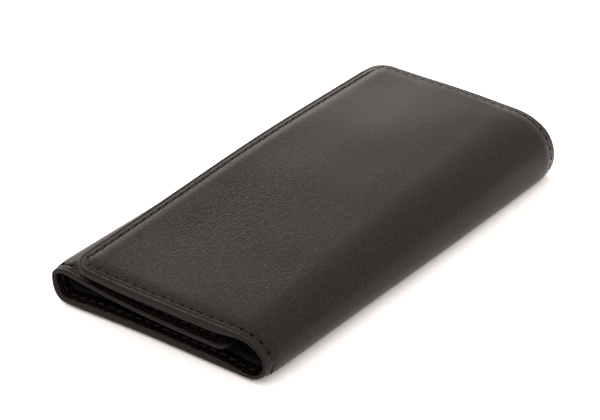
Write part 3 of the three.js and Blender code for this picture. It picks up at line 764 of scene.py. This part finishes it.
def sheet(stretch, name, lines, faces, inset=0.0, materials=()):
    """A closed sheet over one stretch: an outer and an inner grid, bridged at their borders."""
    corner = max(stretch.corner - inset, LEAST_CORNER)
    flat = np.array([grid_point(stretch, s, y, inset, corner)
                     for y in rows(lines, inset) for s in columns(stretch, y, lines, inset)])
    width = len(columns(stretch, 0.0, lines, inset))
    thick = np.array([stretch.edge_depth(s, y) for s, y, _ in flat])
    wall = [on_wall(s, y, MIDDLE_DEPTH, calm(d)) for s, y, d in flat]
    outer, inner = (
        laid_grid(width, flat, [(place - float(depth) * normal) * MM
                                for (place, normal), depth in zip(wall, depths)])
        for depths in faces(flat[:, 2], thick, flat[:, 1]))
    bpy.ops.object.mode_set(mode="EDIT")
    bpy.ops.mesh.select_all(action="SELECT")
    bpy.ops.mesh.flip_normals()
    bpy.ops.object.mode_set(mode="OBJECT")
    outer.select_set(True)
    bpy.ops.object.join()
    bpy.ops.object.mode_set(mode="EDIT")
    bpy.ops.mesh.select_all(action="SELECT")
    bpy.ops.mesh.region_to_loop()
    bpy.ops.mesh.bridge_edge_loops()
    bpy.ops.mesh.select_all(action="SELECT")
    bpy.ops.mesh.normals_make_consistent(inside=False)
    bpy.ops.object.mode_set(mode="OBJECT")
    piece = bpy.context.object
    piece.name = name
    for material in materials:
        piece.data.materials.append(material)
    bpy.ops.object.shade_smooth_by_angle(angle=SHEET_SMOOTH)
    return piece


# %% Skins
SKIN_OF = {
    "cover": ("cover_leather", "right_fold_leather"),
    "back_right": ("back_leather",),
    "back_left": ("left_fold_leather",),
    "flap": ("inner_flap_leather",),
}
PAINT_REACH = 0.45


def paint_edge(piece):
    """Gives the rim, all faces within PAINT_REACH of the edge, the second material."""
    near = [value.value < PAINT_REACH for value in piece.data.attributes["edge"].data]
    for face in piece.data.polygons:
        face.material_index = int(all(near[v] for v in face.vertices))


for stretch in STRETCHES:
    skin = sheet(stretch, stretch.name + "_skin", SKIN_LINES, skin_faces, materials=(leather, paint))
    paint_edge(skin)
    stretch.follow(skin)
    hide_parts(*SKIN_OF[stretch.name])
    stretch.flat(0.0)
    print(skin.name, len(skin.data.polygons), "faces")

# %% [markdown]
# ## Lining
# Inside the border lies a thin black twill, glued to the back of the leather. It could be a second material
# on the inside of the skins, but a lining has an edge of its own that shows at the open end. So it is a
# thin sheet, made by the same function from fewer lines and cut to the same stretches.

# %% Lining
LINING_OF = {
    "cover": ("cover_lining", "right_fold_lining"),
    "back_right": ("back_lining",),
    "back_left": ("left_fold_lining",),
    "flap": ("inner_flap_lining",),
}
for stretch in STRETCHES:
    cloth = sheet(stretch, stretch.name + "_twill", LINING_LINES, lining_faces, BORDER, (lining_cloth,))
    stretch.follow(cloth)
    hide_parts(*LINING_OF[stretch.name])
    stretch.flat(BORDER)
    print(cloth.name, len(cloth.data.polygons), "faces")

# %% [markdown]
# ## Stitching
# A row of black stitches runs all round, in its groove, outside and inside. One stitch is a short twist of
# thread whose ends dive into their holes: a six-sided rod whose two ends are extruded down and drawn in.
# Each carries the hole that it shares with the next, a flat black disc on the leather that is painted shade
# for the shadow in the hole. It is copied along the row, each copy turned a little, as a slanting awl hole
# turns the thread.

# %% One stitch
STITCH_PITCH = 2.6
STITCH_LONG = 1.8
THREAD_RADIUS = 0.21
STITCH_SLANT = math.radians(9)
STITCH_SMOOTH = math.radians(60)
STITCH_DIVE = ((0.15, 0.25, 0.85), (0.10, 0.75, 0.6))  # how far an end goes on, goes down and is drawn in
HOLE_LONG, HOLE_WIDE, HOLE_DEPTH = 1.05, 0.56, 0.1


def make_stitch():
    """One stitch along x at the origin, with a black disc at its end that is painted shade for its hole."""
    bpy.ops.object.select_all(action="DESELECT")
    bpy.ops.mesh.primitive_cylinder_add(vertices=6, radius=THREAD_RADIUS * MM, depth=0.5 * STITCH_LONG * MM,
                                        rotation=(0, math.pi / 2, 0))
    bpy.ops.object.transform_apply(rotation=True)
    stitch = bpy.context.object
    stitch.name = "stitch"
    for side in (-1, 1):
        for ahead, down, shrink in STITCH_DIVE:
            bpy.ops.object.mode_set(mode="EDIT")
            bpy.ops.mesh.select_all(action="DESELECT")
            bpy.ops.object.mode_set(mode="OBJECT")
            end = max(stitch.data.polygons, key=lambda face: side * face.center.x)
            end.select = True
            bpy.ops.object.mode_set(mode="EDIT")
            bpy.ops.mesh.select_mode(type="FACE")
            move = (side * ahead * STITCH_LONG * MM, 0, -down * THREAD_RADIUS * MM)
            bpy.ops.mesh.extrude_region_move(TRANSFORM_OT_translate={"value": move})
            bpy.ops.transform.resize(value=(1, shrink, shrink))
            bpy.ops.object.mode_set(mode="OBJECT")
    uv = stitch.data.uv_layers["UVMap"]
    for loop in stitch.data.loops:
        x, y, z = stitch.data.vertices[loop.vertex_index].co / MM
        uv.data[loop.index].uv = (x, THREAD_RADIUS * math.atan2(z, y))
    stitch.data.materials.append(thread)
    bpy.ops.object.shade_smooth_by_angle(angle=STITCH_SMOOTH)
    bpy.ops.object.select_all(action="DESELECT")
    # the hole's painted shade: a flat near-black disc on the leather where the thread dives in
    bpy.ops.mesh.primitive_cylinder_add(vertices=8, radius=0.5 * MM, depth=HOLE_DEPTH * MM,
                                        location=(STITCH_PITCH / 2 * MM, 0, 0),
                                        scale=(HOLE_LONG, HOLE_WIDE, 1))
    hole = bpy.context.object
    hole.data.materials.append(hole_shade)
    stitch.select_set(True)
    bpy.context.view_layer.objects.active = stitch
    bpy.ops.object.join()
    return stitch


stitch = make_stitch()
print("one stitch:", len(stitch.data.polygons), "faces,", [round(c / MM, 2) for c in stitch.dimensions])

# %% Rows of stitches
ROW_POINTS, SIDE_POINTS, CORNER_POINTS = 100, 200, 12
LOOK_AHEAD = 0.3


def stitch_line(stretch):
    """The rows of one stretch, as lists of points (s, y) at STITCH_LINE from its free edges."""
    half, radius = LENGTH / 2, stretch.corner
    if stretch.free_edge is None:
        ends = (STITCH_LINE - half, half - STITCH_LINE)
        return [[(s, y) for s in np.linspace(*stretch.span(y), ROW_POINTS)] for y in ends]
    total = stretch.span(0.0)[1] - stretch.span(0.0)[0]
    bend = radius - STITCH_LINE
    arc = np.linspace(0, math.pi / 2, CORNER_POINTS)
    in_corner = [(radius - bend * math.sin(a), half - radius + bend * math.cos(a)) for a in arc]
    in_run = [(a, half - STITCH_LINE) for a in np.linspace(total, radius, ROW_POINTS)]
    along = [(STITCH_LINE, y) for y in np.linspace(half - radius, radius - half, SIDE_POINTS)]
    line = [(a, -y) for a, y in in_run + in_corner] + along[::-1] + (in_run + in_corner)[::-1]
    placed = []
    for a, y in line:
        start, end = stretch.span(y)
        s = min(start + a, end) if stretch.free_edge == "start" else max(end - a, start)
        placed.append((s, stretch.pushed_out(s, y)))
    return [placed]


def stitch_depth(stretch, side, s, y):
    """How deep in the wall the row lies at s and y, outside (side 1) or inside (-1)."""
    outer, inner = skin_faces(STITCH_LINE, stretch.edge_depth(s, y), y)
    return (outer if side > 0 else inner) + side * TIGHT_SINK * tight(y)


def sew(stretch, side):
    """Copies the stitch along the rows of a stretch, outside (side 1) or inside (-1), as one piece."""
    copies = []
    for line in stitch_line(stretch):
        placed = [on_wall(s, y, MIDDLE_DEPTH - stitch_depth(stretch, side, s, y), calm(STITCH_LINE))
                  for s, y in line]
        points = np.array([p for p, _ in placed])
        run = distances(points)
        count = round(run[-1] / STITCH_PITCH)
        for middle in (np.arange(count) + 0.5) * run[-1] / count:
            index = int(np.searchsorted(run, middle))
            place = Vector([np.interp(middle, run, column) for column in points.T])
            ahead = Vector([np.interp(middle + LOOK_AHEAD, run, column) for column in points.T])
            behind = Vector([np.interp(middle - LOOK_AHEAD, run, column) for column in points.T])
            normal = side * placed[index][1]
            forward = (ahead - behind).normalized()
            across = normal.cross(forward).normalized()
            turn = Matrix((forward, across, forward.cross(across))).transposed()
            copy = stitch.copy()
            copy.data = stitch.data.copy()
            copy.matrix_world = (Matrix.Translation(place * MM)
                                 @ (turn @ Matrix.Rotation(STITCH_SLANT, 3, "Z")).to_4x4())
            bpy.context.collection.objects.link(copy)
            copies.append(copy)
    bpy.ops.object.select_all(action="DESELECT")
    for copy in copies:
        copy.select_set(True)
    bpy.context.view_layer.objects.active = copies[0]
    bpy.ops.object.join()
    row = bpy.context.object
    bpy.ops.object.transform_apply(location=True, rotation=True, scale=True)
    row.name = stretch.name + ("_stitches" if side > 0 else "_inner_stitches")
    return row, len(copies)


for stretch in STRETCHES:
    for side in (1, -1):
        row, count = sew(stretch, side)
        stretch.follow(row)
        print(row.name, count, "stitches")
bpy.data.objects.remove(stitch)

# %% [markdown]
# ## Plated metal
# The hook bar, its rivets, the hooks, gates and pins and the press fasteners are nickel plated. The packed
# pieces have the right shape but knife-sharp edges, and a tumbled, plated piece never has those. So each
# gets a copy whose doubles are merged and whose edges are beveled by about a tenth of a millimetre.

# %% Nickel
SCRATCH = 0.9 * MM
SMEAR = 5 * MM
DRAWN_SCALE, DRAWN_TURN = (9.0, 0.6, 3.0), (0.2, 0.1, 0.35)
NICKELS = ((0.70, 0.68, 0.63, 1), (0.80, 0.78, 0.74, 1))

nickel, tree, shader = finish("nickel_plate", Metallic=1.0)
here = tree.node("TexCoord", output="Object")
drawn = tree.node("Mapping", inputs={"Vector": here, "Scale": DRAWN_SCALE, "Rotation": DRAWN_TURN})
scratches = drawn.speckle(SCRATCH, 4.0)
smears = here.speckle(SMEAR)
feed(shader, Base_Color=smears.mix(*NICKELS), Roughness=0.14 + 0.12 * smears + 0.10 * scratches,
     Normal=scratches.bump(0.12, 0.02 * MM))
print("nickel nodes:", len(nickel.node_tree.nodes))

# %% Plated copies
PLATE_BEVEL, BEVEL_ANGLE = 0.09 * MM, math.radians(40)
MERGE = 0.001 * MM
FLAT_ANGLE = math.radians(2)
PLATE_SMOOTH = math.radians(35)
PLATED = ("hook_bar", "bar_rivet", "key_hook", "hook_gate", "gate_pin", "snap")


def plated_copy(node):
    """A copy of a packed metal piece with merged vertices and softened edges."""
    piece = frame["nodes"][node].copy()
    piece.data = piece.data.copy()
    for key in list(piece.keys()):
        del piece[key]
    piece.parent = None
    piece.name = node + "_plated"
    bpy.context.collection.objects.link(piece)
    bpy.ops.object.select_all(action="DESELECT")
    piece.select_set(True)
    bpy.context.view_layer.objects.active = piece
    bpy.ops.object.mode_set(mode="EDIT")
    bpy.ops.mesh.select_all(action="SELECT")
    bpy.ops.mesh.remove_doubles(threshold=MERGE)
    bpy.ops.mesh.dissolve_limited(angle_limit=FLAT_ANGLE)
    bpy.ops.object.mode_set(mode="OBJECT")
    bevel = piece.modifiers.new("soft_edges", "BEVEL")
    bevel.width = PLATE_BEVEL
    bevel.segments = 2
    bevel.limit_method = "ANGLE"
    bevel.angle_limit = BEVEL_ANGLE
    bpy.ops.object.modifier_apply(modifier=bevel.name)
    piece.data.materials.clear()
    piece.data.materials.append(nickel)
    bpy.ops.object.shade_smooth_by_angle(angle=PLATE_SMOOTH)
    return piece


body_of = {node: body for body, nodes in frame["record"]["behaviour"]["bodies"].items() for node in nodes}
plated = [node for node in sorted(frame["nodes"]) if node.startswith(PLATED)]
for node in plated:
    piece = plated_copy(node)
    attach(piece, body_of[node])
    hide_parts(node)
print("plated pieces:", len(plated))
